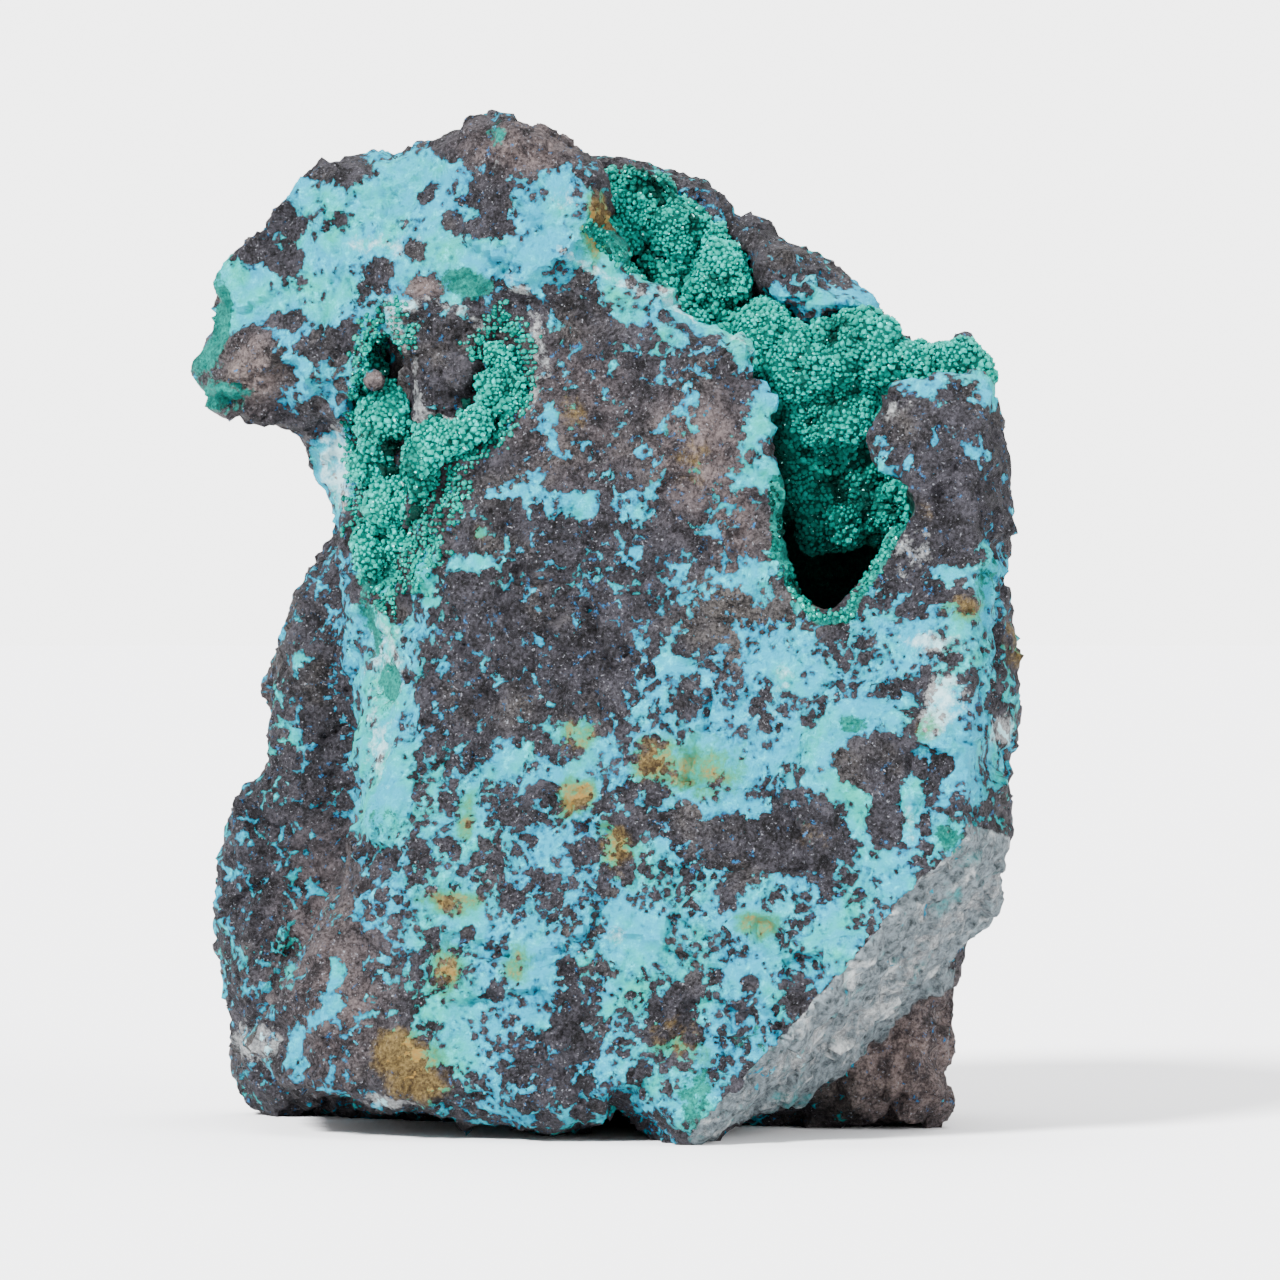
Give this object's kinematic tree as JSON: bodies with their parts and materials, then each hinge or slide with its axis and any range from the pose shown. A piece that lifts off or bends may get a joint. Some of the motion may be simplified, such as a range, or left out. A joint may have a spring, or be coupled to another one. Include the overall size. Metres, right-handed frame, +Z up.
{
  "type": "brochantite crystal specimen",
  "caption": "Hand specimen of dark copper-stained rock with green crystal crusts in an open vug and a side groove, standing on its broken base.",
  "frame": {"origin": "centre of the bounding box at its base, on the surface that the rock stands on", "axes": "+Z up, +X to the right of a viewer who faces the side with the vug, which faces -Y"},
  "size_m": [0.0414, 0.03, 0.0501],
  "materials": {
    "rock": "broken, gritty rock with turquoise and pale blue stains",
    "green_crystals": "glossy emerald crystals, grown in small round bunches"
  },
  "bodies": {
    "root": {"matrix": "rock", "vug_crust": "green_crystals", "flank_crust": "green_crystals"}
  },
  "joints": []
}
